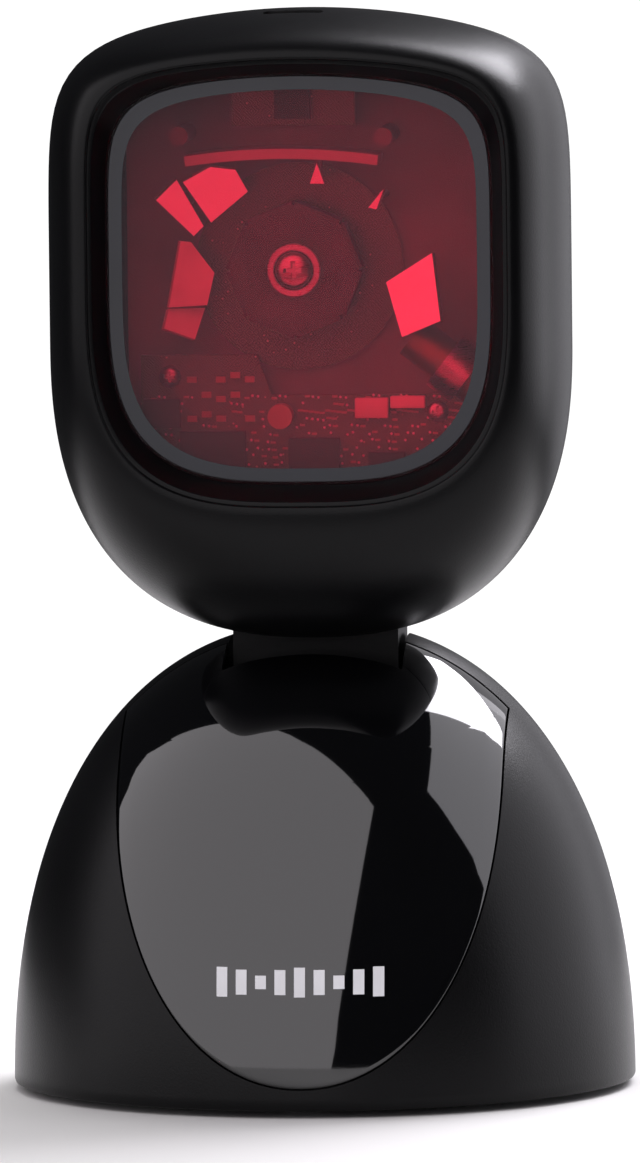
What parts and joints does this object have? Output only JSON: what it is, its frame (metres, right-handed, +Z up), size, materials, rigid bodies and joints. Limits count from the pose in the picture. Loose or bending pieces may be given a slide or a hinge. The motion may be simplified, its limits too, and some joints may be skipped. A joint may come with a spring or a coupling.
{
  "type": "presentation barcode scanner",
  "caption": "Hands-free barcode scanner: a tilting oval scan head with a red window on a weighted dome base with a glossy front panel.",
  "frame": {"origin": "middle of the base's footprint, on the surface that the feet stand on", "axes": "+Z up, the scan window faces -Y, +X to the right of a person facing the window"},
  "size_m": [0.086, 0.086, 0.1495],
  "materials": {
    "shell_plastic": "fine moulded grain, satin black",
    "panel_gloss": "polished piano black",
    "mark_ink": "printed silver ink",
    "neck_plastic": "matte black",
    "inner_plastic": "matte black, moulded",
    "steel": "zinc plated",
    "ballast_iron": "cast, grey",
    "foot_rubber": "soft black rubber",
    "seal_rubber": "black foam rubber",
    "board_green": "glass-fibre board with solder mask",
    "socket_black": "moulded black",
    "contact_gold": "gold plated",
    "plug_nylon": "natural nylon",
    "cable_sheath": "black sheath",
    "window_red": "red filter, polished",
    "mirror_glass": "front-surface mirror",
    "laser_brass": "turned brass",
    "lens_clear": "clear moulded lens",
    "chip_black": "moulded epoxy",
    "passive_ceramic": "ceramic and tinned ends",
    "bronze": "sintered bronze",
    "motor_copper": "enamelled copper",
    "wheel_metal": "machined",
    "magnet_dark": "ferrite"
  },
  "bodies": {
    "base": {"base_shell": "shell_plastic", "front_panel": "panel_gloss", "panel_mark": "mark_ink", "base_plate": "inner_plastic", "ballast_weight": "ballast_iron", "rubber_feet": "foot_rubber", "base_screws": "steel", "pivot_yoke": "steel", "yoke_screws": "steel", "pivot_pins": "steel", "pivot_nuts": "steel", "friction_washers": "bronze", "socket_board": "board_green", "modular_socket": "socket_black", "socket_contacts": "contact_gold", "base_plug": "plug_nylon", "base_harness": "cable_sheath", "harness_clip": "plug_nylon"},
    "head": {"neck_front": "neck_plastic", "neck_rear": "neck_plastic", "neck_screws": "steel", "head_front_cover": "shell_plastic", "head_rear_cover": "shell_plastic", "cover_seal": "seal_rubber", "head_screws": "steel", "scan_window": "window_red", "window_seal": "seal_rubber", "optics_frame": "inner_plastic", "frame_screws": "steel", "pattern_mirror_1": "mirror_glass", "pattern_mirror_2": "mirror_glass", "pattern_mirror_3": "mirror_glass", "pattern_mirror_4": "mirror_glass", "pattern_mirror_5": "mirror_glass", "pattern_mirror_6": "mirror_glass", "mirror_posts": "inner_plastic", "collecting_mirror": "mirror_glass", "laser_module": "laser_brass", "laser_lens": "lens_clear", "laser_bracket": "steel", "detector_board": "board_green", "photodiode": "chip_black", "main_board": "board_green", "board_chips": "chip_black", "board_passives": "passive_ceramic", "board_plug": "plug_nylon", "board_screws": "steel", "beeper": "socket_black", "status_board": "board_green", "light_pipe": "lens_clear", "motor_board": "board_green", "motor_stator": "motor_copper", "motor_bearing": "bronze", "head_harness": "cable_sheath"},
    "polygon": {"polygon_wheel": "wheel_metal", "wheel_mirrors": "mirror_glass", "rotor_magnet": "magnet_dark", "spindle": "steel", "hub_screw": "steel"}
  },
  "joints": [
    {"name": "head_tilt", "type": "hinge", "parent": "base", "child": "head", "pos_m": [0, 0, 0.048], "axis": [1, 0, 0], "range_deg": [-24, 6]},
    {"name": "wheel_spin", "type": "hinge", "parent": "head", "child": "polygon", "pos_m": [-0.0021, -0.0095, 0.1136], "axis": [0, -1, 0], "continuous": true}
  ]
}
